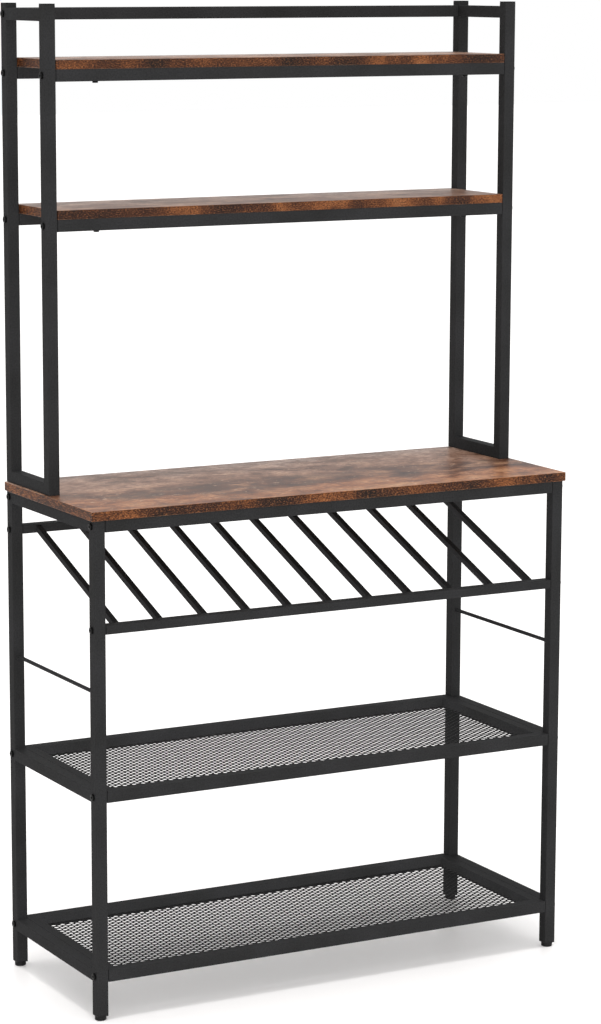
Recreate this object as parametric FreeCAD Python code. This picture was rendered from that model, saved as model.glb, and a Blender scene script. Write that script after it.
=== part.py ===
"""Kitchen rack: a steel base with a sloping wine rack and two mesh shelves, a wooden
worktop, and a narrower two-shelf hutch standing on its back half.

Millimetres. X runs to the right, Y to the back, Z up. The origin is on the floor, in the
middle of the four legs.
"""
import FreeCAD, Part
import math
import os

Vector = FreeCAD.Vector

# Base frame, measured over the legs, with drops counted from the legs' tops
frame_width = 892.0
frame_depth = 350.0
base_height = 836.0
wine_back_drop = 59.0
wine_front_drop = 172.5
side_rod_drop = 286.0
upper_mesh_top = 388.6
lower_mesh_top = 85.3

# Square tube of all legs, posts and rails
tube_size = 20.0
tube_wall = 1.2
tube_corner = 1.1
end_plate = 3.0

# Lower tube of the two wine rails, and the inboard side tubes of the mesh shelves
wine_rail_height = 15.0
mesh_side_width = 18.0

# Wine bars. The outer bars' centre lines stand this far inside the legs, and the shares
# divide the way from the middle bar to an outer one.
bar_size = 10.0
bar_wall = 1.0
bar_corner = 0.6
outer_bar_inset = 29.5
bar_place_shares = (0.1942, 0.3922, 0.5939, 0.8008, 1.0)

# Round rod low in each side frame
side_rod_radius = 3.25

# Expanded metal sheet, drawn coarser than the real 17 by 12 diamonds, a little above its
# rails' lower faces
mesh_thickness = 1.5
mesh_lift = 3.0
mesh_strand = 3.0
mesh_border = 3.0
mesh_columns = 13
mesh_rows = 6

# Boards
worktop_thickness = 15.0
worktop_side_overhang = 4.0
worktop_front_overhang = 3.0
board_thickness = 15.0
board_end_gap = 1.0
board_edge_ease = 0.8

# Hutch, with drops counted from the posts' tops
rack_height = 1651.0
hutch_depth = 175.0
hutch_rail_drop = 8.0
upper_shelf_drop = 104.5
lower_shelf_drop = 346.6

# Locating pins under the hutch frames
pin_radius = 4.0
pin_reach = 10.0
pin_inset = 25.0
pin_clearance = 0.3

# Sides of bolts, screws, pins and their holes, and of the feet
fixing_sides = 6
foot_sides = 24

# Dome-headed bolts through legs and posts
bolt_radius = 3.0
bolt_head_radius = 5.5
bolt_crown_radius = 3.5
bolt_head_height = 3.0
bolt_overrun = 4.0
bolt_clearance = 0.2

# Screws up through the shelf rails into the boards
screw_radius = 2.0
screw_head_radius = 4.75
screw_head_height = 3.0
screw_bite = 10.0
screw_inset = 94.5
screw_clearance = 0.2

# Square plastic plugs in the tube ends
plug_flange = 1.5
plug_spigot = 16.0
cap_spigot = 8.0
plug_clearance = 0.2

# Levelling feet
foot_height = 7.5
foot_radius = 9.65
foot_edge = 1.9
foot_stem_radius = 3.0
foot_stem_length = 28.0
foot_stem_clearance = 0.05

# Made longer than what it cuts by this much at each end
overrun = 1.0

half_width = frame_width / 2
half_depth = frame_depth / 2
inner_x = half_width - tube_size
inner_y = half_depth - tube_size
leg_centre_x = half_width - tube_size / 2
leg_centre_y = half_depth - tube_size / 2
leg_bottom = foot_height + plug_flange
top_rail_centre = base_height - tube_size / 2
upper_mesh_centre = upper_mesh_top - tube_size / 2
lower_mesh_centre = lower_mesh_top - tube_size / 2
wine_back_top = base_height - wine_back_drop
wine_front_top = base_height - wine_front_drop
wine_back_centre = wine_back_top - wine_rail_height / 2
wine_front_centre = wine_front_top - wine_rail_height / 2
side_rod_height = base_height - side_rod_drop
worktop_top = base_height + worktop_thickness
hutch_front = half_depth - hutch_depth
hutch_inner_front = hutch_front + tube_size
hutch_front_centre = hutch_front + tube_size / 2
hutch_rail_top = rack_height - hutch_rail_drop
hutch_rail_centre = hutch_rail_top - tube_size / 2
upper_shelf_height = rack_height - upper_shelf_drop
lower_shelf_height = rack_height - lower_shelf_drop
upper_shelf_centre = upper_shelf_height - tube_size / 2
lower_shelf_centre = lower_shelf_height - tube_size / 2
sides = (("left", -1), ("right", 1))


def eased_wire(width, height, corner):
    """Closed outline in the XY plane, centred on the origin, with its corners eased."""
    x = width / 2
    y = height / 2
    corners = (
        (x - corner, -y),
        (x, corner - y),
        (x, y - corner),
        (x - corner, y),
        (corner - x, y),
        (-x, y - corner),
        (-x, corner - y),
        (corner - x, -y),
    )
    return closed_outline(corners)


def closed_outline(corners):
    """Closed straight-sided wire in the XY plane through the given corners."""
    points = [Vector(x, y) for x, y in corners]
    return Part.makePolygon(points + points[:1])


def holed_face(wires):
    """Flat face bounded by the first wire, with the other wires as holes."""
    return Part.makeFace(wires, "Part::FaceMakerBullseye")


def plain_wire(width, height):
    """Closed rectangle in the XY plane, centred on the origin."""
    x = width / 2
    y = height / 2
    return closed_outline(((-x, -y), (x, -y), (x, y), (-x, y)))


def ring(radius, height, sides):
    """Level polygon round the Z axis, standing for a circle with few facets."""
    corners = []
    for index in range(sides):
        angle = 2 * math.pi * index / sides
        corners.append((radius * math.cos(angle), radius * math.sin(angle)))
    wire = closed_outline(corners)
    wire.translate(Vector(0, 0, height))
    return wire


def fixing_rod(radius, low, high):
    """Straight rod or hole along Z for a fixing."""
    face = Part.Face(ring(radius, low, fixing_sides))
    return face.extrude(Vector(0, 0, high - low))


def tube_z(width, depth, z_low, z_high, x, y):
    """Hollow upright tube: width along X, depth along Y, centred on x, y."""
    inner = plain_wire(width - 2 * tube_wall, depth - 2 * tube_wall)
    section = holed_face([eased_wire(width, depth, tube_corner), inner])
    tube = section.extrude(Vector(0, 0, z_high - z_low))
    tube.translate(Vector(x, y, z_low))
    return tube


def tube_y(width, height, y_low, y_high, x, top):
    """Hollow tube along Y: width along X, its upper face at top."""
    inner = plain_wire(width - 2 * tube_wall, height - 2 * tube_wall)
    section = holed_face([eased_wire(width, height, tube_corner), inner])
    tube = section.extrude(Vector(0, 0, y_high - y_low))
    tube.rotate(Vector(0, 0, 0), Vector(1, 0, 0), 90)
    tube.translate(Vector(x, y_high, top - height / 2))
    return tube


def rail_x(height, top, y):
    """Hollow rail between the legs, with a threaded plate welded in each end."""
    clear_depth = tube_size - 2 * tube_wall
    clear_height = height - 2 * tube_wall
    section = holed_face([
        eased_wire(height, tube_size, tube_corner),
        plain_wire(clear_height, clear_depth),
    ])
    length = 2 * inner_x
    rail = section.extrude(Vector(0, 0, length))
    plug = Part.Face(plain_wire(clear_height, clear_depth))
    rail = rail.fuse(plug.extrude(Vector(0, 0, end_plate)))
    far_plate = plug.extrude(Vector(0, 0, -end_plate))
    far_plate.translate(Vector(0, 0, length))
    rail = rail.fuse(far_plate).removeSplitter()
    rail = rail.cut(fixing_rod(bolt_radius + bolt_clearance, -overrun, length + overrun))
    rail.rotate(Vector(0, 0, 0), Vector(0, 1, 0), 90)
    rail.translate(Vector(-inner_x, y, top - height / 2))
    return rail


def cross_holes(post, x, y, heights):
    """Bolt holes through a post along X at each height."""
    for height in heights:
        reach = tube_size / 2 + overrun
        hole = fixing_rod(bolt_radius + bolt_clearance, -reach, reach)
        hole.rotate(Vector(0, 0, 0), Vector(0, 1, 0), 90)
        hole.translate(Vector(x, y, height))
        post = post.cut(hole)
    return post


def bolt(shank_length):
    """Dome-headed bolt: head on +Z above the origin, shank down -Z."""
    rim = ring(bolt_head_radius, 0, fixing_sides)
    crown = ring(bolt_crown_radius, bolt_head_height, fixing_sides)
    head = Part.makeLoft([rim, crown], True, True)
    return head.fuse(fixing_rod(bolt_radius, -shank_length, 0))


def screw():
    """Flat-headed screw pointing up: head below the origin, shank up +Z."""
    head = fixing_rod(screw_head_radius, -screw_head_height, 0)
    return head.fuse(fixing_rod(screw_radius, 0, tube_size + screw_bite))


def square_plug(spigot_length):
    """Plug with its flange on the XY plane, rising by the flange, spigot down -Z."""
    flange = Part.Face(eased_wire(tube_size, tube_size, tube_corner))
    spigot_width = tube_size - 2 * tube_wall - 2 * plug_clearance
    spigot = Part.Face(plain_wire(spigot_width, spigot_width))
    plug = flange.extrude(Vector(0, 0, plug_flange))
    return plug.fuse(spigot.extrude(Vector(0, 0, -spigot_length))).removeSplitter()


def foot():
    """Levelling foot: disc eased at the floor, threaded stem up into the leg."""
    disc = Part.Face(ring(foot_radius, 0, foot_sides)).extrude(Vector(0, 0, foot_height))
    lower = [edge for edge in disc.Edges if edge.BoundBox.ZMax < foot_edge / 2]
    disc = disc.makeChamfer(foot_edge, lower)
    return disc.fuse(fixing_rod(foot_stem_radius, foot_height, foot_height + foot_stem_length))


def board(x_half, y_low, y_high, z_low, thickness, front_only):
    """Flat board whose upper edges are eased, all round or at the front alone."""
    body = Part.makeBox(
        2 * x_half, y_high - y_low, thickness, Vector(-x_half, y_low, z_low)
    )
    eased = []
    for edge in body.Edges:
        box = edge.BoundBox
        along_x = box.XLength > box.YLength
        on_top = box.ZMin > z_low + thickness / 2
        at_front = box.YMax < (y_low + y_high) / 2
        if on_top and (not front_only or (along_x and at_front)):
            eased.append(edge)
    return body.makeChamfer(board_edge_ease, eased)


def mesh_sheet(top):
    """Expanded metal sheet low in a mesh shelf: a lattice of diamond holes."""
    x_half = inner_x - mesh_side_width
    y_half = inner_y
    field_x = 2 * (x_half - mesh_border)
    field_y = 2 * (y_half - mesh_border)
    pitch_x = field_x / mesh_columns
    pitch_y = field_y / mesh_rows
    flank = math.hypot(pitch_x, pitch_y)
    reach_x = pitch_x / 2 - mesh_strand * flank / pitch_y / 2
    reach_y = pitch_y / 2 - mesh_strand * flank / pitch_x / 2
    wires = [plain_wire(2 * x_half, 2 * y_half)]
    for row in range(2 * mesh_rows - 1):
        staggered = row % 2
        y = (row + 1) * pitch_y / 2 - field_y / 2
        for column in range(mesh_columns - staggered):
            x = (column + 0.5 + staggered / 2) * pitch_x - field_x / 2
            wires.append(Part.makePolygon([
                Vector(x - reach_x, y),
                Vector(x, y - reach_y),
                Vector(x + reach_x, y),
                Vector(x, y + reach_y),
                Vector(x - reach_x, y),
            ]))
    sheet = holed_face(wires).extrude(Vector(0, 0, mesh_thickness))
    sheet.translate(Vector(0, 0, top - tube_size + mesh_lift))
    return sheet


def wine_bar(x):
    """Sloping square tube from the back wine rail down to the front one."""
    run = 2 * inner_y
    fall = wine_back_centre - wine_front_centre
    slope = math.atan2(fall, run)
    reach = math.hypot(run, fall) + 2 * bar_size
    bar_inner = bar_size - 2 * bar_wall
    section = holed_face([
        eased_wire(bar_size, bar_size, bar_corner),
        plain_wire(bar_inner, bar_inner),
    ])
    bar = section.extrude(Vector(0, 0, reach))
    bar.translate(Vector(0, 0, -reach / 2))
    bar.rotate(Vector(0, 0, 0), Vector(1, 0, 0), -90 + math.degrees(slope))
    bar.translate(Vector(x, 0, (wine_back_centre + wine_front_centre) / 2))
    low = wine_front_centre - 2 * bar_size
    between = Part.makeBox(
        2 * bar_size, run, fall + 4 * bar_size, Vector(x - bar_size, -inner_y, low)
    )
    return bar.common(between)


def bolted_columns():
    """Each column of posts: its place along Y, and the heights of the rails bolted to it."""
    base = (top_rail_centre, upper_mesh_centre, lower_mesh_centre)
    shelves = (upper_shelf_centre, lower_shelf_centre)
    return {
        "front_leg": (-leg_centre_y, (*base, wine_front_centre)),
        "back_leg": (leg_centre_y, (*base, wine_back_centre)),
        "hutch_front_post": (hutch_front_centre, shelves),
        "hutch_back_post": (leg_centre_y, (*shelves, hutch_rail_centre)),
    }


def base_legs(nodes):
    """Four legs with bolt holes for the rails that end against them."""
    for side, sign in sides:
        x = sign * leg_centre_x
        for place in ("front_leg", "back_leg"):
            y, heights = bolted_columns()[place]
            leg = tube_z(tube_size, tube_size, leg_bottom, base_height, x, y)
            nodes[f"{side}_{place}"] = cross_holes(leg, x, y, heights)


def base_side_rails(nodes):
    """Rails and round rod that weld each pair of legs into a side frame."""
    for side, sign in sides:
        x = sign * leg_centre_x
        top_rail = tube_y(tube_size, tube_size, -inner_y, inner_y, x, base_height)
        for y in pin_places():
            top_rail = top_rail.cut(pin(x, y, pin_clearance))
        nodes[f"{side}_top_side_rail"] = top_rail
        for level, top in (("upper", upper_mesh_top), ("lower", lower_mesh_top)):
            rail = tube_y(tube_size, tube_size, -inner_y, inner_y, x, top)
            nodes[f"{side}_{level}_side_rail"] = rail
        nodes[f"{side}_side_rod"] = Part.makeCylinder(
            side_rod_radius, 2 * inner_y, Vector(x, -inner_y, side_rod_height), Vector(0, 1, 0)
        )


def base_cross_rails(nodes):
    """Bolted rails under the worktop and the two wine rails."""
    nodes["worktop_front_rail"] = rail_x(tube_size, base_height, -leg_centre_y)
    nodes["worktop_back_rail"] = rail_x(tube_size, base_height, leg_centre_y)
    nodes["wine_back_rail"] = rail_x(wine_rail_height, wine_back_top, leg_centre_y)
    nodes["wine_front_rail"] = rail_x(wine_rail_height, wine_front_top, -leg_centre_y)


def wine_bars(nodes):
    """Bars mirrored about the middle one, numbered from left to right."""
    outer = inner_x - outer_bar_inset
    offsets = [share * outer for share in bar_place_shares]
    places = [-offset for offset in reversed(offsets)] + [0] + offsets
    for number, x in enumerate(places, start=1):
        nodes[f"wine_bar_{number}"] = wine_bar(x)


def mesh_shelves(nodes):
    """Two welded mesh shelves, each a frame of four rails round a sunk mesh sheet."""
    for level, top in (("upper", upper_mesh_top), ("lower", lower_mesh_top)):
        nodes[f"{level}_mesh_front_rail"] = rail_x(tube_size, top, -leg_centre_y)
        nodes[f"{level}_mesh_back_rail"] = rail_x(tube_size, top, leg_centre_y)
        for side, sign in sides:
            x = sign * (inner_x - mesh_side_width / 2)
            rail = tube_y(mesh_side_width, tube_size, -inner_y, inner_y, x, top)
            nodes[f"{level}_mesh_{side}_rail"] = rail
        nodes[f"{level}_mesh"] = mesh_sheet(top)


def pin_places():
    """Distances along Y of the two locating pins in each hutch frame."""
    return (hutch_inner_front + pin_inset, inner_y - pin_inset)


def pin(x, y, clearance):
    """Locating pin from the bottom rail's floor into the rail below, or its hole."""
    reach = worktop_thickness + pin_reach + clearance
    rod = fixing_rod(pin_radius + clearance, -reach, tube_wall)
    rod.translate(Vector(x, y, worktop_top))
    return rod


def worktop(nodes):
    """Worktop board, flush with the legs at the back, with holes for the hutch pins."""
    x_half = half_width + worktop_side_overhang
    front = -half_depth - worktop_front_overhang
    top = board(x_half, front, half_depth, base_height, worktop_thickness, False)
    for _, sign in sides:
        for place in pin_places():
            top = top.cut(pin(sign * leg_centre_x, place, pin_clearance))
    nodes["worktop"] = top


def hutch_frames(nodes):
    """Left and right hutch frames: two posts, a top rail and a pinned bottom rail."""
    post_top = rack_height - plug_flange
    for side, sign in sides:
        x = sign * leg_centre_x
        for place in ("hutch_front_post", "hutch_back_post"):
            y, heights = bolted_columns()[place]
            post = tube_z(tube_size, tube_size, worktop_top, post_top, x, y)
            nodes[f"{side}_{place}"] = cross_holes(post, x, y, heights)
        top_rail = tube_y(tube_size, tube_size, hutch_inner_front, inner_y, x, hutch_rail_top)
        nodes[f"{side}_hutch_top_rail"] = top_rail
        bottom_top = worktop_top + tube_size
        bottom = tube_y(tube_size, tube_size, hutch_inner_front, inner_y, x, bottom_top)
        for y in pin_places():
            bottom = bottom.fuse(pin(x, y, 0))
        nodes[f"{side}_hutch_bottom_rail"] = bottom.removeSplitter()


def screw_places():
    """X and Y of the board screws: near both ends of each shelf rail."""
    x = half_width - screw_inset
    return [(sign * x, y) for _, sign in sides for y in (hutch_front_centre, leg_centre_y)]


def screw_hole(x, y, shelf_height):
    """Hole for a board screw through its rail and up into the board."""
    top = screw_bite + screw_clearance
    hole = fixing_rod(screw_radius + screw_clearance, -tube_size - overrun, top)
    hole.translate(Vector(x, y, shelf_height))
    return hole


def hutch_shelves(nodes):
    """Top back rail, and two board shelves on front and back rails."""
    nodes["hutch_top_back_rail"] = rail_x(tube_size, hutch_rail_top, leg_centre_y)
    for level, height in (("upper", upper_shelf_height), ("lower", lower_shelf_height)):
        front = rail_x(tube_size, height, hutch_front_centre)
        back = rail_x(tube_size, height, leg_centre_y)
        x_half = inner_x - board_end_gap
        shelf = board(x_half, hutch_front, half_depth, height, board_thickness, True)
        for x, y in screw_places():
            hole = screw_hole(x, y, height)
            shelf = shelf.cut(hole)
            if y == leg_centre_y:
                back = back.cut(hole)
            else:
                front = front.cut(hole)
        nodes[f"{level}_shelf_front_rail"] = front
        nodes[f"{level}_shelf_back_rail"] = back
        nodes[f"{level}_shelf_board"] = shelf


def frame_bolts(nodes):
    """One bolt through every post into the end of every bolted rail."""
    solids = []
    for _, sign in sides:
        for y, heights in bolted_columns().values():
            for height in heights:
                item = bolt(tube_size + end_plate + bolt_overrun)
                item.rotate(Vector(0, 0, 0), Vector(0, 1, 0), sign * 90)
                item.translate(Vector(sign * half_width, y, height))
                solids.append(item)
    nodes["frame_bolts"] = Part.makeCompound(solids)


def shelf_screws(nodes):
    """Screws up through the shelf rails into the boards."""
    solids = []
    for height in (upper_shelf_height, lower_shelf_height):
        for x, y in screw_places():
            item = screw()
            item.translate(Vector(x, y, height - tube_size))
            solids.append(item)
    nodes["shelf_screws"] = Part.makeCompound(solids)


def tube_plugs(nodes):
    """Caps in the tops of the hutch posts, and bored plugs in the feet of the legs."""
    solids = []
    for _, sign in sides:
        x = sign * leg_centre_x
        for y in (hutch_front_centre, leg_centre_y):
            cap = square_plug(cap_spigot)
            cap.translate(Vector(x, y, rack_height - plug_flange))
            solids.append(cap)
        for y in (-leg_centre_y, leg_centre_y):
            insert = square_plug(plug_spigot)
            insert.rotate(Vector(0, 0, 0), Vector(1, 0, 0), 180)
            insert.translate(Vector(x, y, leg_bottom))
            bore_top = leg_bottom + plug_spigot + overrun
            bore_radius = foot_stem_radius + foot_stem_clearance
            bore = fixing_rod(bore_radius, foot_height - overrun, bore_top)
            bore.translate(Vector(x, y))
            solids.append(insert.cut(bore))
    nodes["tube_plugs"] = Part.makeCompound(solids)


def feet(nodes):
    """Levelling feet, screwed right in under the legs."""
    for side, sign in sides:
        for place, y in (("front", -leg_centre_y), ("back", leg_centre_y)):
            item = foot()
            item.translate(Vector(sign * leg_centre_x, y, 0))
            nodes[f"{side}_{place}_foot"] = item


def build():
    """All nodes of the rack by name."""
    nodes = {}
    for section in (
        base_legs,
        base_side_rails,
        base_cross_rails,
        wine_bars,
        mesh_shelves,
        worktop,
        hutch_frames,
        hutch_shelves,
        frame_bolts,
        shelf_screws,
        tube_plugs,
        feet,
    ):
        section(nodes)
    return nodes


os.makedirs("parts", exist_ok=True)
for name, shape in build().items():
    shape.exportStep(f"parts/{name}.step")
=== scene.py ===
import math

import bpy
import numpy as np
from mathutils import Matrix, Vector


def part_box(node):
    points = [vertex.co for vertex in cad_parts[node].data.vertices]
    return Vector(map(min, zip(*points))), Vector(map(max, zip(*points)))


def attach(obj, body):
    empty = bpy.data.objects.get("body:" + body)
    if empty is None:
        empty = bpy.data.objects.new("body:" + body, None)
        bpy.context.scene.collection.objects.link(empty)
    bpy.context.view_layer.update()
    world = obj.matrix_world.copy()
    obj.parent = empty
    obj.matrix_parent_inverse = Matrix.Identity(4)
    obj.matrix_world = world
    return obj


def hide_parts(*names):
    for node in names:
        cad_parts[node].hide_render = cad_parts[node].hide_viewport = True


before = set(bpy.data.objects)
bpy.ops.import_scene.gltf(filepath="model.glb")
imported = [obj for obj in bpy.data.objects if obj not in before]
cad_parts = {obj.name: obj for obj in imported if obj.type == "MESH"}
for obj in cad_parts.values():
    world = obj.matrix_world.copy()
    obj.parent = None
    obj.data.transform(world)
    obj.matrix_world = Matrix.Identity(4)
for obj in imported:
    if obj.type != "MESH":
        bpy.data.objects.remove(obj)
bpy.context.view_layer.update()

# The kitchen rack's visible pieces, each in its node's own place. Places and sizes are in
# metres in the frame of the CAD model, with +X to the right, +Y to the back and +Z up.
# A profile that lists its radii and heights in millimetres is scaled by MM at its end.

MM = 0.001
TUBE_SIZE = 20 * MM
TUBE_RADIUS = 1.0 * MM
BAR_RADIUS = 0.8 * MM
BOARD_RADIUS = 0.6 * MM
END_EASE = 0.5 * MM
GROOVE = 1.0 * MM
GROOVE_SIDE = 0.3 * MM
GROOVE_DEPTH = 2.0 * MM
SCREW_INSET = 94.5 * MM
SHARP_ANGLE = math.radians(40)
WINE_BARS = 11
SIDES = ("left", "right")
LEVELS = ("upper", "lower")
ENDS = ("front", "back")

# The vectors of X, Y and Z, one unit long
UNIT = np.eye(3)

# A colour Mix node's sockets by number, since their names repeat
SHARE, UNDER, OVER, MIXED = 0, 6, 7, 2


# ---- Finishes ----


def linear(colour):
    """An sRGB hex colour as linear red, green, blue and 1."""
    parts = np.array([int(colour[i:i + 2], 16) for i in (1, 3, 5)]) / 255
    low, high = parts / 12.92, ((parts + 0.055) / 1.055) ** 2.4
    return (*np.where(parts <= 0.04045, low, high), 1.0)


def feed(tree, node, inputs):
    """Gives a node its inputs: each is a value, or the output socket that feeds it."""
    for name, value in inputs.items():
        if isinstance(value, bpy.types.NodeSocket):
            tree.links.new(value, node.inputs[name])
        else:
            node.inputs[name].default_value = value


def add(tree, kind, settings=None, inputs=None, stops=()):
    """Adds a node with its settings and inputs, and a colour ramp's stops, each a position
    and a hex colour."""
    node = tree.nodes.new(kind)
    for name, value in (settings or {}).items():
        setattr(node, name, value)
    feed(tree, node, inputs or {})
    for number, (position, colour) in enumerate(stops):
        elements = node.color_ramp.elements
        # A new ramp has two stops already
        element = elements[number] if number < 2 else elements.new(1.0)
        element.position = position
        element.color = linear(colour)
    return node


def finish_named(name):
    """A new node material with its tree, its shader and the piece's own coordinates in metres."""
    material = bpy.data.materials.new(name)
    material.use_nodes = True
    tree = material.node_tree
    tree.nodes.clear()
    shader = add(tree, "ShaderNodeBsdfPrincipled")
    add(tree, "ShaderNodeOutputMaterial", inputs={"Surface": shader.outputs["BSDF"]})
    place = add(tree, "ShaderNodeTexCoord").outputs["Object"]
    return material, tree, shader, place


def powder_coated_steel():
    """Matt black polyester powder coat, sprayed and baked: an even charcoal with a fine
    orange-peel grain, and a slightly uneven sheen over a hand's width. The grain is about
    0.8 mm on the real rack and is drawn at 2.5 mm, which is the least that shows."""
    material, tree, shader, place = finish_named("powder_coated_steel")
    peel = add(tree, "ShaderNodeTexNoise", inputs={
        "Vector": place, "Scale": 1 / (2.5 * MM), "Detail": 2.0, "Roughness": 0.6})
    film = add(tree, "ShaderNodeTexNoise", inputs={
        "Vector": place, "Scale": 1 / (90 * MM), "Detail": 3.0, "Roughness": 0.5})
    grain = add(tree, "ShaderNodeValToRGB", inputs={"Fac": peel.outputs["Fac"]}, stops=(
        (0.35, "#c8c8c8"), (0.60, "#ffffff")))
    coat = add(tree, "ShaderNodeValToRGB", inputs={"Fac": film.outputs["Fac"]}, stops=(
        (0.30, "#292929"), (0.70, "#303031")))
    colour = add(tree, "ShaderNodeMix", {"data_type": "RGBA", "blend_type": "MULTIPLY"}, {
        SHARE: 0.7, UNDER: coat.outputs["Color"], OVER: grain.outputs["Color"]})
    sheen = add(tree, "ShaderNodeMapRange", inputs={
        "Value": film.outputs["Fac"], "From Min": 0.3, "From Max": 0.7,
        "To Min": 0.50, "To Max": 0.60})
    bump = add(tree, "ShaderNodeBump", inputs={
        "Strength": 0.25, "Distance": 0.15 * MM, "Height": peel.outputs["Fac"]})
    feed(tree, shader, {
        "Base Color": colour.outputs[MIXED], "Roughness": sheen.outputs["Result"],
        "Specular IOR Level": 0.014, "Normal": bump.outputs["Normal"]})
    return material


def mesh_coat_with_painted_shade():
    """The same powder coat on slit and stretched sheet. Its colour is painted darker than the
    tube's, which stands for shade among the strands, and its tone, roughness and bump vary at
    random over about 6 mm."""
    material, tree, shader, place = finish_named("mesh_coat_with_painted_shade")
    uneven_tone = add(tree, "ShaderNodeTexNoise", inputs={
        "Vector": place, "Scale": 1 / (6 * MM), "Detail": 2.0, "Roughness": 0.5})
    # Painted shade: these stops are darker than the tube's coat, for the shade among the strands;
    # the spread between them is random tone
    colour = add(tree, "ShaderNodeValToRGB", inputs={"Fac": uneven_tone.outputs["Fac"]}, stops=(
        (0.35, "#181818"), (0.65, "#202020")))
    sheen = add(tree, "ShaderNodeMapRange", inputs={
        "Value": uneven_tone.outputs["Fac"], "To Min": 0.45, "To Max": 0.65})
    bump = add(tree, "ShaderNodeBump", inputs={
        "Strength": 0.2, "Distance": 0.1 * MM, "Height": uneven_tone.outputs["Fac"]})
    feed(tree, shader, {
        "Base Color": colour.outputs["Color"], "Roughness": sheen.outputs["Result"],
        "Specular IOR Level": 0.05, "Normal": bump.outputs["Normal"]})
    return material


def black_zinc_steel():
    """Black zinc-plated bolt and screw steel: darker and glossier than the frame, with a
    cloudy plating and faint dents of about 2 mm from tumbling."""
    material, tree, shader, place = finish_named("black_zinc_steel")
    cloud = add(tree, "ShaderNodeTexNoise", inputs={
        "Vector": place, "Scale": 1 / (2 * MM), "Detail": 4.0, "Roughness": 0.6})
    colour = add(tree, "ShaderNodeValToRGB", inputs={"Fac": cloud.outputs["Fac"]}, stops=(
        (0.35, "#030303"), (0.75, "#090909")))
    sheen = add(tree, "ShaderNodeMapRange", inputs={
        "Value": cloud.outputs["Fac"], "To Min": 0.24, "To Max": 0.42})
    bump = add(tree, "ShaderNodeBump", inputs={
        "Strength": 0.15, "Distance": 0.05 * MM, "Height": cloud.outputs["Fac"]})
    feed(tree, shader, {
        "Base Color": colour.outputs["Color"], "Roughness": sheen.outputs["Result"],
        "Specular IOR Level": 0.08, "Normal": bump.outputs["Normal"]})
    return material


def moulded_black_plastic():
    """Injection-moulded black polypropylene: a soft sheen over a spark-eroded grain of
    about 0.8 mm, with no pattern in its colour but a slight bloom."""
    material, tree, shader, place = finish_named("moulded_black_plastic")
    grain = add(tree, "ShaderNodeTexNoise", inputs={
        "Vector": place, "Scale": 1 / (0.8 * MM), "Detail": 1.0})
    bloom = add(tree, "ShaderNodeTexNoise", inputs={
        "Vector": place, "Scale": 1 / (12 * MM), "Detail": 2.0})
    colour = add(tree, "ShaderNodeValToRGB", inputs={"Fac": bloom.outputs["Fac"]}, stops=(
        (0.35, "#101010"), (0.70, "#181818")))
    bump = add(tree, "ShaderNodeBump", inputs={
        "Strength": 0.3, "Distance": 0.08 * MM, "Height": grain.outputs["Fac"]})
    feed(tree, shader, {
        "Base Color": colour.outputs["Color"], "Roughness": 0.5,
        "Specular IOR Level": 0.15, "Normal": bump.outputs["Normal"]})
    return material


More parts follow.
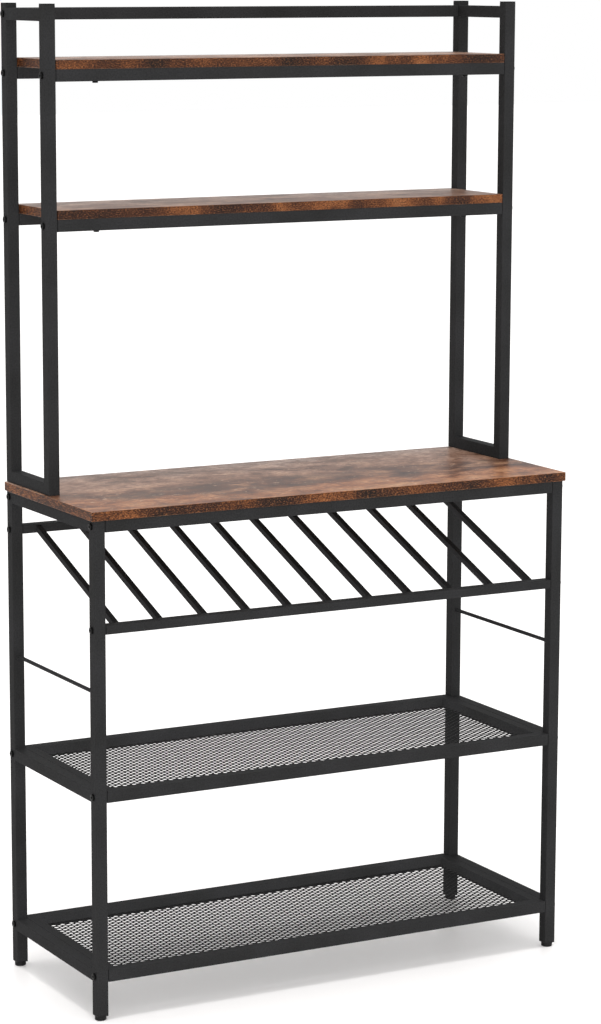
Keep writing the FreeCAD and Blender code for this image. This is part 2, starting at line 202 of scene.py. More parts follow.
def rustic_foil():
    """Melamine paper foil printed as weathered, smoked oak, on the boards' flat faces. It is
    tan along the front, smoky brown behind that and paler and greyer to the back, in strips
    whose borders wander. Over them lie clouds of about 77 by 50 mm, drifts of dark smoke,
    mottles of 11 by 7 mm and pale flecks as large. A satin lacquer pales it at a low
    angle."""
    material, tree, shader, place = finish_named("rustic_foil")
    along = add(tree, "ShaderNodeMapping", inputs={
        "Vector": place, "Scale": (0.65, 1.0, 1.0)}).outputs["Vector"]
    wander = add(tree, "ShaderNodeTexNoise", inputs={
        "Vector": along, "Scale": 1 / (90 * MM), "Detail": 3.0, "Roughness": 0.55})
    cloud = add(tree, "ShaderNodeTexNoise", inputs={
        "Vector": along, "Scale": 1 / (50 * MM), "Detail": 3.5, "Roughness": 0.55,
        "Distortion": 0.6})
    smoke = add(tree, "ShaderNodeTexNoise", {"noise_dimensions": "4D"}, {
        "Vector": along, "W": 3.0, "Scale": 1 / (52 * MM), "Detail": 3.0,
        "Roughness": 0.55, "Distortion": 0.4})
    mottle = add(tree, "ShaderNodeTexNoise", inputs={
        "Vector": along, "Scale": 1 / (7 * MM), "Detail": 3.0, "Roughness": 0.65})
    fleck = add(tree, "ShaderNodeTexNoise", inputs={
        "Vector": along, "Scale": 1 / (7.5 * MM), "Detail": 2.0, "Roughness": 0.7})
    depth = add(tree, "ShaderNodeSeparateXYZ", inputs={"Vector": place}).outputs["Y"]
    drift = add(tree, "ShaderNodeMath", {"operation": "MULTIPLY_ADD"}, {
        0: wander.outputs["Fac"], 1: 160 * MM, 2: depth})
    strip = add(tree, "ShaderNodeMapRange", inputs={
        "Value": drift.outputs["Value"], "From Min": -98 * MM, "From Max": 258 * MM})
    ground = add(tree, "ShaderNodeValToRGB", inputs={"Fac": strip.outputs["Result"]}, stops=(
        (0.0, "#bd8b67"), (0.20, "#bd8b67"), (0.33, "#7d5e4e"), (0.44, "#7d5e4e"),
        (0.55, "#aa8c7c"), (0.75, "#c4aa9e"), (1.0, "#beb4b4")))
    tan = add(tree, "ShaderNodeMapRange", inputs={
        "Value": cloud.outputs["Fac"], "From Min": 0.50, "From Max": 0.68, "To Max": 0.5})
    tanned = add(tree, "ShaderNodeMix", {"data_type": "RGBA"}, {
        SHARE: tan.outputs["Result"], UNDER: ground.outputs["Color"], OVER: linear("#b8906e")})
    shade = add(tree, "ShaderNodeValToRGB", inputs={"Fac": cloud.outputs["Fac"]}, stops=(
        (0.30, "#826c5c"), (0.45, "#c2b0a2"), (0.56, "#e6dcd4"), (0.70, "#ffffff")))
    clouded = add(tree, "ShaderNodeMix", {"data_type": "RGBA", "blend_type": "MULTIPLY"}, {
        SHARE: 1.0, UNDER: tanned.outputs[MIXED], OVER: shade.outputs["Color"]})
    dark = add(tree, "ShaderNodeMapRange", inputs={
        "Value": smoke.outputs["Fac"], "From Min": 0.44, "From Max": 0.30, "To Max": 0.6})
    smoked = add(tree, "ShaderNodeMix", {"data_type": "RGBA"}, {
        SHARE: dark.outputs["Result"], UNDER: clouded.outputs[MIXED], OVER: linear("#5a4a3e")})
    grain = add(tree, "ShaderNodeValToRGB", inputs={"Fac": mottle.outputs["Fac"]}, stops=(
        (0.32, "#a09084"), (0.50, "#dcd3cb"), (0.66, "#ffffff")))
    mottled = add(tree, "ShaderNodeMix", {"data_type": "RGBA", "blend_type": "MULTIPLY"}, {
        SHARE: 1.0, UNDER: smoked.outputs[MIXED], OVER: grain.outputs["Color"]})
    pale = add(tree, "ShaderNodeMapRange", inputs={
        "Value": fleck.outputs["Fac"], "From Min": 0.64, "From Max": 0.78, "To Max": 0.75})
    printed = add(tree, "ShaderNodeMix", {"data_type": "RGBA"}, {
        SHARE: pale.outputs["Result"], UNDER: mottled.outputs[MIXED], OVER: linear("#d2b69c")})
    satin = add(tree, "ShaderNodeMapRange", inputs={
        "Value": mottle.outputs["Fac"], "To Min": 0.34, "To Max": 0.48})
    bump = add(tree, "ShaderNodeBump", inputs={
        "Strength": 0.2, "Distance": 0.08 * MM, "Height": fleck.outputs["Fac"]})
    feed(tree, shader, {
        "Base Color": printed.outputs[MIXED], "Roughness": satin.outputs["Result"],
        "Specular IOR Level": 0.2, "Normal": bump.outputs["Normal"]})
    return material


def rustic_edge_band():
    """Printed edge band glued round the boards: a darker and richer brown than the foil, in
    patches of about 80 mm from near black to orange tan, with grain of 3.2 by 1.6 mm, and
    twice as long on the boards' ends."""
    material, tree, shader, place = finish_named("rustic_edge_band")
    patch = add(tree, "ShaderNodeTexNoise", {"noise_dimensions": "4D"}, {
        "Vector": place, "W": 2.0, "Scale": 1 / (80 * MM), "Detail": 3.0, "Roughness": 0.5,
        "Distortion": 0.4})
    fine = add(tree, "ShaderNodeMapping", inputs={
        "Vector": place, "Scale": (1.0, 0.5, 2.0)})
    fleck = add(tree, "ShaderNodeTexNoise", inputs={
        "Vector": fine.outputs["Vector"], "Scale": 1 / (3.2 * MM), "Detail": 3.0,
        "Roughness": 0.65})
    ground = add(tree, "ShaderNodeValToRGB", inputs={"Fac": patch.outputs["Fac"]}, stops=(
        (0.30, "#200f06"), (0.42, "#371b0c"), (0.52, "#573016"), (0.62, "#804d29"),
        (0.74, "#96643f")))
    flecks = add(tree, "ShaderNodeValToRGB", inputs={"Fac": fleck.outputs["Fac"]}, stops=(
        (0.36, "#42362e"), (0.50, "#d2cac2"), (0.60, "#ffffff")))
    darkened = add(tree, "ShaderNodeMix", {"data_type": "RGBA", "blend_type": "MULTIPLY"}, {
        SHARE: 1.0, UNDER: ground.outputs["Color"], OVER: flecks.outputs["Color"]})
    light = add(tree, "ShaderNodeMapRange", inputs={
        "Value": fleck.outputs["Fac"], "From Min": 0.54, "From Max": 0.70, "To Max": 0.5})
    printed = add(tree, "ShaderNodeMix", {"data_type": "RGBA"}, {
        SHARE: light.outputs["Result"], UNDER: darkened.outputs[MIXED], OVER: linear("#a86e44")})
    bump = add(tree, "ShaderNodeBump", inputs={
        "Strength": 0.2, "Distance": 0.1 * MM, "Height": fleck.outputs["Fac"]})
    feed(tree, shader, {
        "Base Color": printed.outputs[MIXED], "Roughness": 0.55,
        "Specular IOR Level": 0.2, "Normal": bump.outputs["Normal"]})
    return material


def matt_white_ground():
    """The studio's white painted floor, faintly glossy so that the feet show in it."""
    material, tree, shader, place = finish_named("matt_white_ground")
    roll = add(tree, "ShaderNodeTexNoise", inputs={
        "Vector": place, "Scale": 1 / (400 * MM), "Detail": 2.0})
    sheen = add(tree, "ShaderNodeMapRange", inputs={
        "Value": roll.outputs["Fac"], "To Min": 0.28, "To Max": 0.34})
    feed(tree, shader, {
        "Base Color": linear("#faf8f7"), "Roughness": sheen.outputs["Result"],
        "Specular IOR Level": 0.25})
    return material


# ---- Surfaces ----


def grid_faces(rows, columns, round_rows=False):
    """Quads between neighbouring points of a grid. It is joined round its columns, and round
    its rows too where that is asked."""
    index = np.arange(rows * columns).reshape(rows, columns)
    index = np.concatenate([index, index[:, :1]], axis=1)
    if round_rows:
        index = np.concatenate([index, index[:1]], axis=0)
    corners = (index[:-1, :-1], index[:-1, 1:], index[1:, 1:], index[1:, :-1])
    return np.stack(corners, axis=-1).reshape(-1, 4)


def capped(points):
    """A shell from a rows by columns by 3 grid that goes round its columns, with its first
    and last rows closed by flat faces."""
    rows, columns = points.shape[:2]
    low = np.arange(columns)[None, ::-1]
    high = np.arange(columns)[None, :] + (rows - 1) * columns
    return points.reshape(-1, 3), [grid_faces(rows, columns), low, high]


def rounded_section(width, height, radius, steps=6):
    """Rounded rectangle: quarter circles of the radius about four centres set in by it."""
    angle = np.arange(4)[:, None] * math.pi / 2 + np.linspace(0, math.pi / 2, steps)
    x = np.array([1, -1, -1, 1])[:, None] * (width / 2 - radius) + radius * np.cos(angle)
    y = np.array([1, 1, -1, -1])[:, None] * (height / 2 - radius) + radius * np.sin(angle)
    return np.stack([x.ravel(), y.ravel()], axis=1)


def eased_stations(low, high, ease):
    """Places along a length from low to high, and how far the section draws in at each: by
    the ease at both ends, and not at all one ease further in."""
    places = np.array([low, low + ease, high - ease, high])
    return places, np.array([ease, 0, 0, ease])


def straight_shell(section, across, rise, along, centre, places, draw_in):
    """The section carried along a straight axis: point = centre + place * along, plus the
    section's two distances along across and rise, each shortened by the draw-in."""
    half_size = np.abs(section).max(axis=0)
    scale = 1 - draw_in[:, None, None] / half_size
    moved = section[None, :, :] * scale
    points = (centre + places[:, None, None] * along
              + moved[:, :, :1] * across + moved[:, :, 1:] * rise)
    return capped(points)


def box_tube(low, high, axis):
    """Rounded tube filling a box from low to high along the axis of that number. A tube
    along Y is welded: it reaches into its neighbours' rounded corners, so no line shows at
    the weld. A tube along X is bolted: its end plates are a little smaller than the tube
    all round, which leaves a thin dark groove at the joint."""
    across, rise = (axis + 1) % 3, (axis + 2) % 3
    size = high - low
    centre = (low + high) / 2
    centre[axis] = 0
    section = rounded_section(size[across], size[rise], TUBE_RADIUS)
    start, stop = low[axis], high[axis]
    if axis == 1:
        places = np.array([start - TUBE_RADIUS, stop + TUBE_RADIUS])
        draw_in = np.zeros(2)
    elif axis == 0:
        groove = np.array([0, GROOVE, GROOVE + GROOVE_SIDE])
        places = np.concatenate([start + groove, stop - groove[::-1]])
        draw_in = np.array([1, 1, 0, 0, 1, 1]) * GROOVE_DEPTH
    else:
        places, draw_in = eased_stations(start, stop, END_EASE)
    return straight_shell(
        section, UNIT[across], UNIT[rise], UNIT[axis], centre, places, draw_in)


def turned_shell(radii, heights, place, sides=32):
    """Surface of revolution: each row is a circle of its radius at its height about a
    vertical line through place. Radii may hold one value for each point of a row."""
    angle = np.linspace(0, 2 * math.pi, sides, endpoint=False)
    radii = np.asarray(radii, float)
    radii = radii[:, None] if radii.ndim == 1 else radii
    heights = np.asarray(heights, float)
    heights = heights[:, None] if heights.ndim == 1 else heights
    x = radii * np.cos(angle) + place[0]
    y = radii * np.sin(angle) + place[1]
    z = heights + 0 * x + place[2]
    return capped(np.stack([x, y, z], axis=-1))


def turned_to(shell, place, toward):
    """A shell made round the Z axis, turned so that +Z points toward, which is along an
    axis, and moved to place."""
    points, faces = shell
    toward = np.asarray(toward, float)
    side = UNIT[0] if toward[1] else UNIT[1]
    other = np.cross(toward, side)
    turn = np.stack([side, other, toward])
    if np.linalg.det(turn) < 0:
        turn[0] = -turn[0]
    return points @ turn + np.asarray(place), faces


def make_piece(name, shells, finishes, body, stands_for):
    """One mesh from closed shells, which rides on the body and stands for the nodes. The
    weighted normals keep flat sides flat beside their rounded corners."""
    points, loops, sizes, first = [], [], [], 0
    for shell_points, groups in shells:
        for faces in groups:
            loops.append((faces + first).ravel())
            sizes.append(np.full(len(faces), faces.shape[1]))
        points.append(shell_points)
        first += len(shell_points)
    points, loops, sizes = map(np.concatenate, (points, loops, sizes))
    mesh = bpy.data.meshes.new(name)
    mesh.vertices.add(len(points))
    mesh.vertices.foreach_set("co", points.astype(np.float32).ravel())
    mesh.loops.add(len(loops))
    mesh.loops.foreach_set("vertex_index", loops.astype(np.int32))
    mesh.polygons.add(len(sizes))
    starts = np.concatenate([[0], np.cumsum(sizes)[:-1]])
    mesh.polygons.foreach_set("loop_start", starts.astype(np.int32))
    mesh.update(calc_edges=True)
    mesh.validate()
    mesh.polygons.foreach_set("use_smooth", np.ones(len(sizes), bool))
    mesh.set_sharp_from_angle(angle=SHARP_ANGLE)
    for finish in finishes:
        mesh.materials.append(finish)
    piece = bpy.data.objects.new(name, mesh)
    bpy.context.scene.collection.objects.link(piece)
    normals = piece.modifiers.new("flat_sides", "WEIGHTED_NORMAL")
    normals.keep_sharp = True
    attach(piece, body)
    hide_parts(*stands_for)
    return piece


def node_box(node):
    """Lowest and highest corner of a node as arrays."""
    low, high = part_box(node)
    return np.array(low), np.array(high)


# ---- The rack's pieces ----


def frame_tubes(finish):
    """Legs, posts and rails: rounded square tube along the longest side of each node."""
    names = [f"{side}_{part}" for side in SIDES for part in (
        "front_leg", "back_leg", "top_side_rail", "upper_side_rail", "lower_side_rail",
        "hutch_front_post", "hutch_back_post", "hutch_top_rail")]
    names += [f"{level}_mesh_{part}_rail" for level in LEVELS for part in ENDS + SIDES]
    names += [f"{level}_shelf_{end}_rail" for level in LEVELS for end in ENDS]
    names += ["worktop_front_rail", "worktop_back_rail", "wine_back_rail", "wine_front_rail",
              "hutch_top_back_rail"]
    for name in names:
        low, high = node_box(name)
        axis = int(np.argmax(high - low))
        shell = box_tube(low, high, axis)
        make_piece(f"tube_{name}", [shell], [finish], "rack", [name])


def hutch_bottom_rails(finish):
    """Bottom rails of the hutch frames, above the worktop, each with two locating pins, 25
    and 110 mm from its front end. A pin's lower end is drawn in a little."""
    pin_radius, tip_radius, tip_height = 3.8 * MM, 3.4 * MM, 0.5 * MM
    worktop_top = node_box("worktop")[1][2]
    for side in SIDES:
        name = f"{side}_hutch_bottom_rail"
        low, high = node_box(name)
        heights = [low[2], low[2] + tip_height, worktop_top]
        low[2] = worktop_top
        shells = [box_tube(low, high, axis=1)]
        for from_front in (25 * MM, 110 * MM):
            place = ((low[0] + high[0]) / 2, low[1] + from_front, 0)
            radii = [tip_radius, pin_radius, pin_radius]
            shells.append(turned_shell(radii, heights, place, sides=16))
        make_piece(f"tube_{name}", shells, [finish], "rack", [name])


def side_rods(finish):
    """Round rods low in the side frames."""
    for side in SIDES:
        low, high = node_box(f"{side}_side_rod")
        radius = (high[2] - low[2]) / 2
        centre = (low + high) / 2
        length = high[1] - low[1]
        rod = turned_shell([radius, radius], [-length / 2, length / 2], (0, 0, 0), sides=24)
        rod = turned_to(rod, centre, (0, 1, 0))
        name = f"{side}_side_rod"
        make_piece(f"rod_{name}", [rod], [finish], "rack", [name])


def wine_bars(finish):
    """Sloping bars: a rounded square section carried from the back wine rail's face down to
    the front one's, with upright ends, so its height there is its size over the cosine of
    the slope."""
    back = sum(node_box("wine_back_rail")) / 2
    front = sum(node_box("wine_front_rail")) / 2
    for number in range(1, WINE_BARS + 1):
        name = f"wine_bar_{number}"
        low, high = node_box(name)
        size = high[0] - low[0]
        start = np.array([(low[0] + high[0]) / 2, low[1], front[2]])
        end = np.array([(low[0] + high[0]) / 2, high[1], back[2]])
        path = end - start
        cosine = path[1] / np.linalg.norm(path)
        section = rounded_section(size, size, BAR_RADIUS, steps=4)
        points = (np.array([start, end])[:, None, :]
                  + section[None, :, :1] * np.array([-1.0, 0, 0])
                  + section[None, :, 1:] * np.array([0, 0, 1 / cosine]))
        make_piece(f"tube_{name}", [capped(points)], [finish], "rack", [name])


def expanded_sheet(low, high, offset):
    """Raised expanded metal, 17 by 11.95 mm diamonds. Ribbon k runs along X at
    y = offset + k * 5.975 mm + side * 1.86 mm * w(x), where w goes straight between flats of
    +1 and -1, each 2.7 mm long, once every 17 mm, and side alternates from ribbon to ribbon,
    so that neighbours meet at their flats. The ribbon's 2.5 by 1.6 mm section leans 12
    degrees, and it sinks and rises with w so that the two halves of a bond lie in one
    plane. The sheet's box cuts off what passes it."""
    pitch_x, pitch_y = 17.0 * MM, 11.95 * MM
    width, thick, lean = 2.5 * MM, 1.6 * MM, math.radians(-12)
    half_flat = 0.08
    apart_at_bond = 0.9 * width
    swing = (pitch_y / 2 - apart_at_bond) / 2
    sink = apart_at_bond / 2 * math.tan(-lean)
    turns = int((high[0] - low[0]) / pitch_x / 2) + 1
    one_turn = np.array([-half_flat, half_flat, 0.5 - half_flat, 0.5 + half_flat])
    bends = (np.arange(-turns, turns)[:, None] + one_turn).ravel() * pitch_x
    x = np.concatenate([[low[0]], bends[(bends > low[0]) & (bends < high[0])], [high[0]]])
    wave = np.interp(x, bends, np.tile([1.0, 1.0, -1.0, -1.0], 2 * turns))
    half_rows = int((high[1] - low[1]) / pitch_y) + 2
    ribbon = np.arange(-half_rows, half_rows + 1)
    base_y = offset + ribbon * pitch_y / 2
    side = np.where(ribbon % 2 == 0, 1.0, -1.0)
    keep = (base_y > low[1] - swing) & (base_y < high[1] + swing)
    sway = side[keep, None] * wave[None, :]
    centre_y = base_y[keep, None] + swing * sway
    centre_z = (low[2] + high[2]) / 2 + sink * sway
    flat, upright = np.array([[1, -1, -1, 1], [1, 1, -1, -1]]) * [[width / 2], [thick / 2]]
    lean_y = flat * math.cos(lean) - upright * math.sin(lean)
    lean_z = flat * math.sin(lean) + upright * math.cos(lean)
    y = np.clip(centre_y[:, :, None] + lean_y, low[1], high[1])
    z = centre_z[:, :, None] + lean_z
    points = np.stack([np.broadcast_to(x[None, :, None], y.shape), y, z], axis=-1)
    return [capped(ribbon_points) for ribbon_points in points]


def mesh_shelves(finish):
    """Expanded metal sheets sunk in the mesh shelves. Each is cut from its stock at another
    place, so its diamonds lie off the middle by the offset that the photograph shows."""
    for level, offset in (("upper", 1.7 * MM), ("lower", -4.5 * MM)):
        low, high = node_box(f"{level}_mesh")
        make_piece(f"{level}_expanded_sheet", expanded_sheet(low, high, offset), [finish],
                   "rack", [f"{level}_mesh"])


def boards(foil, band):
    """Foil-faced boards with edge bands: a slightly rounded slab carried along X. The faces
    that look up or down take the foil, and the others the band: those whose normal rises
    by less than the listed share."""
    least_rise = 0.6
    for name in ("worktop", "upper_shelf_board", "lower_shelf_board"):
        low, high = node_box(name)
        size = high - low
        centre = (low + high) / 2
        centre[0] = 0
        section = rounded_section(size[1], size[2], BOARD_RADIUS, steps=4)
        places, draw_in = eased_stations(low[0], high[0], END_EASE)
        shell = straight_shell(section, UNIT[1], UNIT[2], UNIT[0], centre, places, draw_in)
        piece = make_piece(f"board_{name}", [shell], [foil, band], "rack", [name])
        normals = np.zeros(len(piece.data.polygons) * 3, np.float32)
        piece.data.polygons.foreach_get("normal", normals)
        upright = np.abs(normals.reshape(-1, 3)[:, 2]) < least_rise
        piece.data.polygons.foreach_set("material_index", upright.astype(np.int32))


def bolt_shell():
    """Flat-topped furniture bolt with its head on +Z: circles of the listed radii and
    heights, then a hexagon 4 mm across its flats for the key, whose radius at an angle is
    2 mm over the cosine of the angle from the nearest flat's middle. All in millimetres."""
    sides, head_top = 24, 3.5
    key_flat, key_ease, key_floor = 2.0, 0.12, 1.3
    angle = np.linspace(0, 2 * math.pi, sides, endpoint=False)
    off_flat = (angle + math.pi / 6) % (math.pi / 3) - math.pi / 6
    hexagon = key_flat / np.cos(off_flat)
    rows = np.array([
        (2.5, -27.0), (3.0, -26.5), (3.0, 0.0), (5.5, 0.0), (5.75, 0.25), (5.75, 2.5),
        (5.6, 2.9), (5.2, 3.2), (4.4, 3.4), (3.4, head_top), (2.6, head_top)])
    radii = np.concatenate([np.repeat(rows[:, :1], sides, axis=1),
                            np.stack([hexagon + key_ease, hexagon, hexagon])])
    heights = np.concatenate([rows[:, 1], [head_top, head_top - key_ease, key_floor]])
    return turned_shell(radii * MM, heights * MM, (0, 0, 0), sides)


def frame_bolts(finish):
    """A bolt through every leg and post into each rail's end, at the rail's centre line."""
    left, right = node_box("left_front_leg")[0][0], node_box("right_front_leg")[1][0]
    rails = ["worktop_front_rail", "worktop_back_rail", "wine_back_rail", "wine_front_rail",
             "hutch_top_back_rail"]
    rails += [f"{level}_{kind}_{end}_rail" for level in LEVELS for kind in ("mesh", "shelf")
              for end in ENDS]
    bolt = bolt_shell()
    shells = []
    for name in rails:
        centre = sum(node_box(name)) / 2
        shells.append(turned_to(bolt, (left, centre[1], centre[2]), (-1, 0, 0)))
        shells.append(turned_to(bolt, (right, centre[1], centre[2]), (1, 0, 0)))
    make_piece("button_head_bolts", shells, [finish], "rack", ["frame_bolts"])


def screw_shell():
    """Pan-head screw with its head on +Z. The head's top is at 3 mm less 0.5 mm times the
    sixth power of its share of the radius, less a cross-shaped recess about 1 mm wide and
    4.6 mm long, 1.5 mm deep at its middle and 0.4 mm less for each millimetre out."""
    sides, head_top, head_fall = 32, 3.0, 0.5
    half_width, width_ease, half_length, length_ease = 0.62, 0.2, 2.3, 0.3
    depth, depth_fall = 1.5, 0.4
    angle = np.linspace(0, 2 * math.pi, sides, endpoint=False)
    head = np.array([4.75, 4.5, 4.1, 3.4, 2.9, 2.4, 2.0, 1.5, 1.0, 0.6, 0.25])[:, None]
    x, y = np.abs(head * np.cos(angle)), np.abs(head * np.sin(angle))
    aside, out = np.minimum(x, y), np.maximum(x, y)
    cut = (np.clip((half_width - aside) / width_ease, 0, 1)
           * np.clip((half_length - out) / length_ease, 0, 1))
    dome = head_top - head_fall * (head / head[0]) ** 6
    head_height = dome - cut * (depth - depth_fall * out)
    stem = np.array([(1.2, -30.0), (2.0, -28.0), (2.0, 0.0), (4.6, 0.0), (4.75, 0.15)])
    stem_radii, stem_height = np.repeat(stem.T[:, :, None], sides, axis=2)
    radii = np.concatenate([stem_radii, np.repeat(head, sides, axis=1)])
    heights = np.concatenate([stem_height, head_height])
    return turned_shell(radii * MM, heights * MM, (0, 0, 0), sides)


def shelf_screws(finish):
    """Screws up into the boards near both ends of each shelf rail, heads below the rails."""
    edge = node_box("right_front_leg")[1][0]
    screw = screw_shell()
    shells = []
    for level in LEVELS:
        for end in ENDS:
            low, high = node_box(f"{level}_shelf_{end}_rail")
            for x in (SCREW_INSET - edge, edge - SCREW_INSET):
                place = (x, (low[1] + high[1]) / 2, low[2])
                shells.append(turned_to(screw, place, (0, 0, -1)))
    make_piece("pan_head_screws", shells, [finish], "rack", ["shelf_screws"])


def post_cap(post):
    """Flat cap in a post's top: the tube's section drawn in by the listed amounts at the
    listed heights, from its spigot in the tube up to its eased upper edge."""
    low, high = node_box(post)
    centre = (low + high) / 2
    centre[2] = 0
    section = rounded_section(TUBE_SIZE, TUBE_SIZE, TUBE_RADIUS)
    rise = np.array([-8.0, -0.05, 0.0, 0.25, 1.2, 1.4, 1.5]) * MM
    draw_in = np.array([1.4, 1.4, 0.3, 0.0, 0.0, 0.08, 0.3]) * MM
    return straight_shell(section, UNIT[0], UNIT[1], UNIT[2], centre, high[2] + rise, draw_in)


def leg_plug(leg):
    """Flanged plug under a leg, which is a ring: its section goes round a 6.2 mm bore, out
    to the rounded square flange, and back up round its spigot in the tube."""
    spigot_size, bore_radius, eased_share = 17.2 * MM, 3.1 * MM, 0.985
    low, high = node_box(leg)
    flange = rounded_section(TUBE_SIZE, TUBE_SIZE, TUBE_RADIUS)
    spigot = flange * spigot_size / TUBE_SIZE
    eased = flange * eased_share
    angle = np.arctan2(flange[:, 1], flange[:, 0])
    bore = bore_radius * np.stack([np.cos(angle), np.sin(angle)], axis=1)
    rows = [(bore, -1.5), (eased, -1.5), (flange, -1.2), (flange, -0.05),
            (spigot, 0.0), (spigot, 16.0), (bore, 16.0)]
    flat = np.stack([row for row, _ in rows]) + ((low + high) / 2)[:2]
    z = np.array([height for _, height in rows])[:, None, None] * MM + low[2]
    ring = np.concatenate([flat, z + 0 * flat[:, :, :1]], axis=-1)
    return ring.reshape(-1, 3), [grid_faces(len(rows), len(flange), round_rows=True)]


def tube_plugs(finish):
    """Caps on the hutch posts and plugs under the legs."""
    shells = []
    for side in SIDES:
        for end in ENDS:
            shells.append(post_cap(f"{side}_hutch_{end}_post"))
            shells.append(leg_plug(f"{side}_{end}_leg"))
    make_piece("post_caps_and_leg_plugs", shells, [finish], "rack", ["tube_plugs"])


def foot_shell(place):
    """Levelling foot: turned rows up the disc, rounded at the floor, then a threaded stem
    whose radius is 2.72 mm plus a triangle wave of 0.26 mm that climbs 1 mm in each turn."""
    sides, stem_top, step = 32, 35.5, 0.25
    root, depth, pitch = 2.72, 0.26, 1.0
    disc = np.array([
        (7.75, 0.0), (8.48, 0.14), (9.09, 0.56), (9.51, 1.17), (9.65, 1.9), (9.65, 7.2),
        (9.5, 7.5)])
    heights = np.arange(disc[-1, 1], stem_top + step / 2, step)
    round_share = np.linspace(0, 1, sides, endpoint=False)
    turn = (heights[:, None] / pitch - round_share[None, :]) % 1.0
    thread = root + depth * (1 - np.abs(2 * turn - 1))
    radii = np.concatenate([np.repeat(disc[:, :1], sides, axis=1), thread])
    rows = np.concatenate([disc[:, 1], heights])
    return turned_shell(radii * MM, rows * MM, place, sides)


def feet(finish):
    """Levelling feet under the legs, each on its own body."""
    for side in SIDES:
        for end in ENDS:
            name = f"{side}_{end}_foot"
            low, high = node_box(name)
            place = ((low[0] + high[0]) / 2, (low[1] + high[1]) / 2, low[2])
            make_piece(f"levelling_{name}", [foot_shell(place)], [finish],
                       f"{name}_body", [name])


# ---- Studio ----


def camera_view():
    """The camera at the photograph's place: it looks to the back right and down, and its
    picture plane is shifted because the object isn't at the middle of the lens."""
    yaw, pitch, roll = (math.radians(value) for value in (27.7145, 10.0895, 0.0505))
    ahead = np.array([math.sin(yaw) * math.cos(pitch), math.cos(yaw) * math.cos(pitch),
                      -math.sin(pitch)])
    level = np.array([math.cos(yaw), -math.sin(yaw), 0])
    upward = np.cross(level, ahead)
    right = math.cos(roll) * level + math.sin(roll) * upward
    upward = np.cross(right, ahead)
    place = (-2.5432, -4.7238, 1.7066)
    # In pixels of the photograph
    focal, centre_x, centre_y = 3175.33, 255.51, 533.62
    width, height = 601, 1024
    data = bpy.data.cameras.new("studio_camera")
    data.sensor_width = 36
    data.lens = focal * data.sensor_width / height
    data.shift_x = (width / 2 - centre_x) / height
    data.shift_y = (centre_y - height / 2) / height
    data.clip_start, data.clip_end = 0.1, 100
    camera = bpy.data.objects.new("studio_camera", data)
    bpy.context.scene.collection.objects.link(camera)
    matrix = Matrix.Identity(4)
    for row in range(3):
        matrix[row][:3] = right[row], upward[row], -ahead[row]
    camera.matrix_world = matrix
    camera.location = place
    bpy.context.scene.camera = camera


def add_lamp(name, strength, spread, tilt, turn, shadow, pieces=(), state="EXCLUDE"):
    """A sun lamp of a spread in degrees, which shines down, tilted about X and then turned
    about Z. It leaves out the named pieces, or lights them alone where state is INCLUDE."""
    lamp = bpy.data.lights.new(name, "SUN")
    lamp.energy = strength
    lamp.angle = math.radians(spread)
    lamp.use_shadow = shadow
    holder = bpy.data.objects.new(name, lamp)
    holder.rotation_euler = (math.radians(tilt), 0, math.radians(turn))
    bpy.context.scene.collection.objects.link(holder)
    if pieces:
        flags = bpy.data.collections.new(f"{name}_flags")
        for piece in pieces:
            flags.objects.link(bpy.data.objects[piece])
        for member in flags.collection_objects:
            member.light_linking.link_state = state
        holder.light_linking.receiver_collection = flags


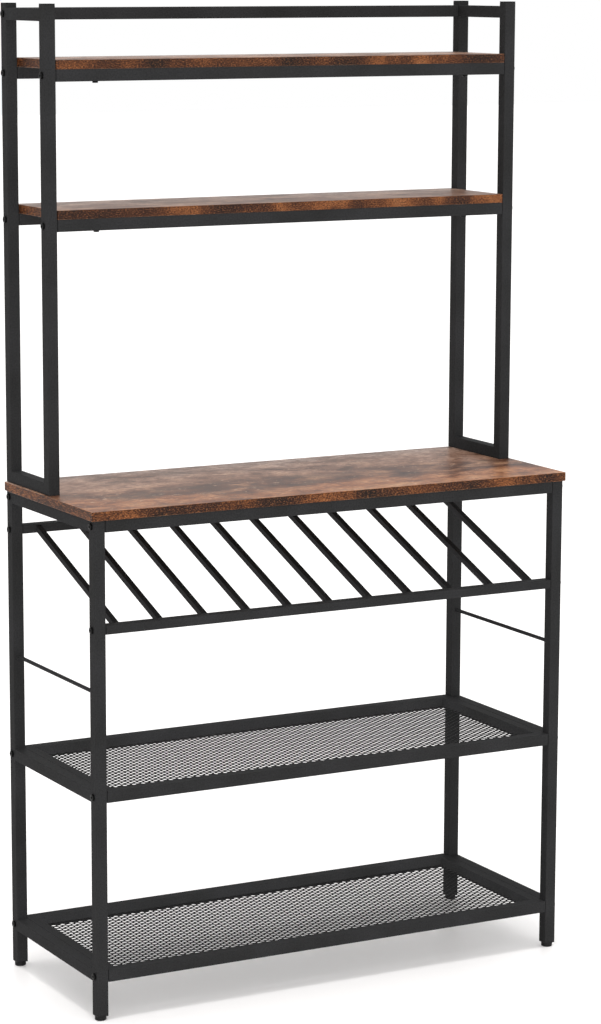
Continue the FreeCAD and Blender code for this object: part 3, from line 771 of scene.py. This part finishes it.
def studio_light():
    """White surroundings, brighter to the camera than to the object, a wide soft lamp high
    above, which lays the shelves' soft shadow on the floor, and two fill lamps that cast no
    shadow, straight down and from the front left. The worktop shades the wine bars, so the
    fill lamps leave them out, and a lamp of their own lights their left sides. Another
    lights the inner sides of the mesh shelves' back and right tubes."""
    world = bpy.data.worlds.new("white_studio")
    bpy.context.scene.world = world
    world.use_nodes = True
    tree = world.node_tree
    tree.nodes.clear()
    seen = add(tree, "ShaderNodeLightPath").outputs["Is Camera Ray"]
    strength = add(tree, "ShaderNodeMapRange", inputs={
        "Value": seen, "To Min": 0.85, "To Max": 1.0})
    sky = add(tree, "ShaderNodeBackground", inputs={
        "Color": (1, 1, 1, 1), "Strength": strength.outputs["Result"]})
    add(tree, "ShaderNodeOutputWorld", inputs={"Surface": sky.outputs["Background"]})
    bars = [f"tube_wine_bar_{number}" for number in range(1, WINE_BARS + 1)]
    trays = [f"tube_{level}_mesh_{part}_rail" for level in LEVELS for part in ("back", "right")]
    add_lamp("overhead_softbox", strength=0.95, spread=14, tilt=5.7, turn=-45, shadow=True)
    add_lamp("ceiling_fill", strength=0.74, spread=90, tilt=0, turn=0, shadow=False, pieces=bars)
    add_lamp("front_left_fill", strength=1.7, spread=40, tilt=69, turn=-22, shadow=False,
             pieces=bars)
    add_lamp("bars_left_fill", strength=0.8, spread=40, tilt=90, turn=-90, shadow=False,
             pieces=bars, state="INCLUDE")
    add_lamp("trays_fill", strength=2.6, spread=40, tilt=90, turn=-45, shadow=False,
             pieces=trays, state="INCLUDE")


def studio_floor():
    """A wide level sheet under the feet, reaching 30 metres each way."""
    reach = 30.0
    corners = [(-reach, -reach, 0), (reach, -reach, 0), (reach, reach, 0), (-reach, reach, 0)]
    mesh = bpy.data.meshes.new("studio_floor")
    mesh.from_pydata(corners, [], [(0, 1, 2, 3)])
    mesh.materials.append(matt_white_ground())
    floor = bpy.data.objects.new("studio_floor", mesh)
    bpy.context.scene.collection.objects.link(floor)


coat = powder_coated_steel()
frame_tubes(coat)
hutch_bottom_rails(coat)
side_rods(coat)
wine_bars(coat)
mesh_shelves(mesh_coat_with_painted_shade())
boards(rustic_foil(), rustic_edge_band())
plating = black_zinc_steel()
frame_bolts(plating)
shelf_screws(plating)
plastic = moulded_black_plastic()
tube_plugs(plastic)
feet(plastic)
studio_floor()
studio_light()
camera_view()
bpy.context.scene.view_settings.view_transform = "Standard"
